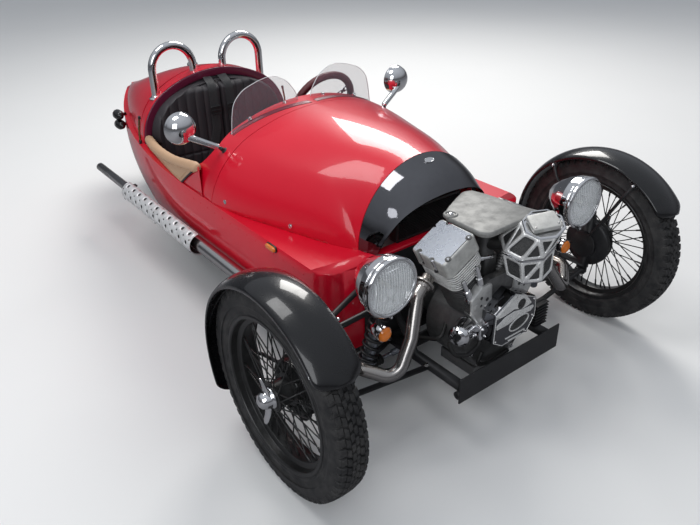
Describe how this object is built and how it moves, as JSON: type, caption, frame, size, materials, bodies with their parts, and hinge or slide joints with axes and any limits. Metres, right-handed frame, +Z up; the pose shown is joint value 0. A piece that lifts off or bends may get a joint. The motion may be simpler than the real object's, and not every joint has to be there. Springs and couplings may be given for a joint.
{
  "type": "three wheeled roadster car",
  "caption": "Open two seater car with two spoked front wheels under cycle wings, one rear wheel, and an exposed V twin engine ahead of a boat tailed body.",
  "frame": {"origin": "on the ground, under the middle of the car's box", "axes": "+Y from nose to tail, +X to the car's left, +Z up"},
  "size_m": [1.72, 3.2251, 0.988],
  "materials": {
    "body_paint": "deep gloss red paint",
    "rim_paint": "dark burgundy gloss",
    "black_gloss": "gloss black paint",
    "black_satin": "satin black paint",
    "polished": "mirror polished",
    "bare_alloy": "bare brushed alloy",
    "engine_alloy": "cast alloy",
    "exhaust_steel": "polished stainless steel",
    "spring_steel": "coated spring steel",
    "tyre": "moulded rubber",
    "black_leather": "black pleated leather",
    "tan_leather": "tan stitched leather",
    "red_leather": "dark red stitched leather",
    "webbing": "woven webbing",
    "clear_glass": "clear",
    "amber_glass": "amber moulded",
    "lamp_black": "black gloss"
  },
  "bodies": {
    "chassis": {"floor_pan": "black_satin", "tub": "body_paint", "bonnet": "body_paint", "scuttle": "body_paint", "rear_deck": "body_paint", "nose_cowl": "polished", "cockpit_rim": "rim_paint", "elbow_trims": "tan_leather", "seat_back": "black_leather", "seat_cushion": "black_leather", "harness": "webbing", "dashboard": "black_satin", "roll_hoops": "polished", "aero_screens": "clear_glass", "mirrors": "polished", "steering_column": "black_satin", "front_frame": "black_satin", "wishbones": "black_satin", "front_dampers": "spring_steel", "swing_arm": "black_satin", "wheel_arch": "black_satin", "rear_dampers": "spring_steel", "headlamps": "polished", "headlamp_lenses": "clear_glass", "indicators": "polished", "indicator_lenses": "amber_glass", "side_markers": "amber_glass", "tail_lights": "lamp_black", "crankcase": "engine_alloy", "cylinders": "engine_alloy", "rocker_covers": "polished", "pushrod_tubes": "polished", "oil_filter": "polished", "regulator": "black_satin", "intake_cover": "bare_alloy", "air_cleaner": "polished", "gearcase_cover": "polished", "front_plate": "black_satin", "oil_cooler": "black_satin", "exhausts": "exhaust_steel", "heat_shields": "bare_alloy"},
    "boot_lid": {"boot_lid": "body_paint", "filler_cap": "polished"},
    "steering_wheel": {"steering_wheel": "red_leather"},
    "steering_rack": {"steering_rack": "bare_alloy"},
    "knuckle_left": {"knuckle_left": "black_satin", "mudguard_left": "black_gloss"},
    "knuckle_right": {"knuckle_right": "black_satin", "mudguard_right": "black_gloss"},
    "front_wheel_left": {"tyre_front_left": "tyre", "wheel_front_left": "black_gloss"},
    "front_wheel_right": {"tyre_front_right": "tyre", "wheel_front_right": "black_gloss"},
    "rear_wheel": {"tyre_rear": "tyre", "wheel_rear": "black_gloss"}
  },
  "joints": [
    {"name": "steer_right", "type": "hinge", "parent": "chassis", "child": "knuckle_right", "pos_m": [-0.7, -1.2705, 0.342], "axis": [0, 0, 1], "range_deg": [-22, 22]},
    {"name": "steer_left", "type": "hinge", "parent": "chassis", "child": "knuckle_left", "pos_m": [0.7, -1.2705, 0.342], "axis": [0, 0, 1], "range_deg": [-22, 22]},
    {"name": "steering_wheel_turn", "type": "hinge", "parent": "chassis", "child": "steering_wheel", "pos_m": [0.205, -0.1405, 0.752], "axis": [0, 0.9354, 0.3535], "range_deg": [-220.5, 220.5]},
    {"name": "rack_slide", "type": "slide", "parent": "chassis", "child": "steering_rack", "axis": [1, 0, 0], "range_m": [-0.043, 0.043]},
    {"name": "roll_front_right", "type": "hinge", "parent": "knuckle_right", "child": "front_wheel_right", "pos_m": [-0.765, -1.2705, 0.342], "axis": [1, 0, 0], "continuous": true},
    {"name": "roll_front_left", "type": "hinge", "parent": "knuckle_left", "child": "front_wheel_left", "pos_m": [0.765, -1.2705, 0.342], "axis": [1, 0, 0], "continuous": true},
    {"name": "roll_rear", "type": "hinge", "parent": "chassis", "child": "rear_wheel", "pos_m": [0, 1.1105, 0.31], "axis": [1, 0, 0], "continuous": true},
    {"name": "boot_lid_hinge", "type": "hinge", "parent": "chassis", "child": "boot_lid", "pos_m": [0, 1.5865, 0.553], "axis": [-1, 0, 0], "range_deg": [0, 60]}
  ],
  "couplings": [
    {"joint": "steer_left", "follows": "steer_right", "ratio": 1},
    {"joint": "steering_wheel_turn", "follows": "steer_right", "ratio": 10},
    {"joint": "rack_slide", "follows": "steer_right", "m_per_rad": -0.11}
  ]
}
